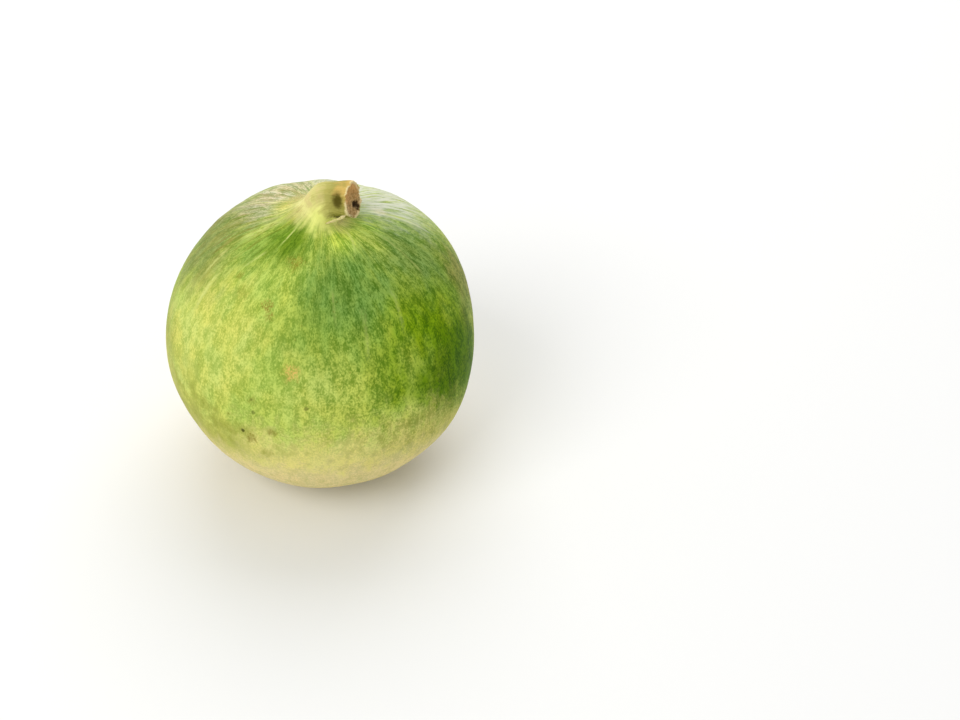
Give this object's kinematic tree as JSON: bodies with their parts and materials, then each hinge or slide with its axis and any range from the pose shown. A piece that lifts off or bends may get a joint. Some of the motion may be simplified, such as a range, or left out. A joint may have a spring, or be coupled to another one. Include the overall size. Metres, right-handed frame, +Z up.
{
  "type": "round cucumber",
  "caption": "Near-spherical mottled green cucumber with a bent cut stem stub, standing upright on its flat blossom end.",
  "frame": {"origin": "on the surface that the fruit rests on, under the middle of its width and depth", "axes": "+Z up from blossom end to stem, the stem leans towards +X, and the side seen in the picture faces -Y"},
  "size_m": [0.0997, 0.1009, 0.1078],
  "materials": {
    "cucumber_skin": "satin",
    "dry_stalk": "matt"
  },
  "bodies": {
    "root": {"fruit": "cucumber_skin", "stem": "dry_stalk"}
  },
  "joints": []
}
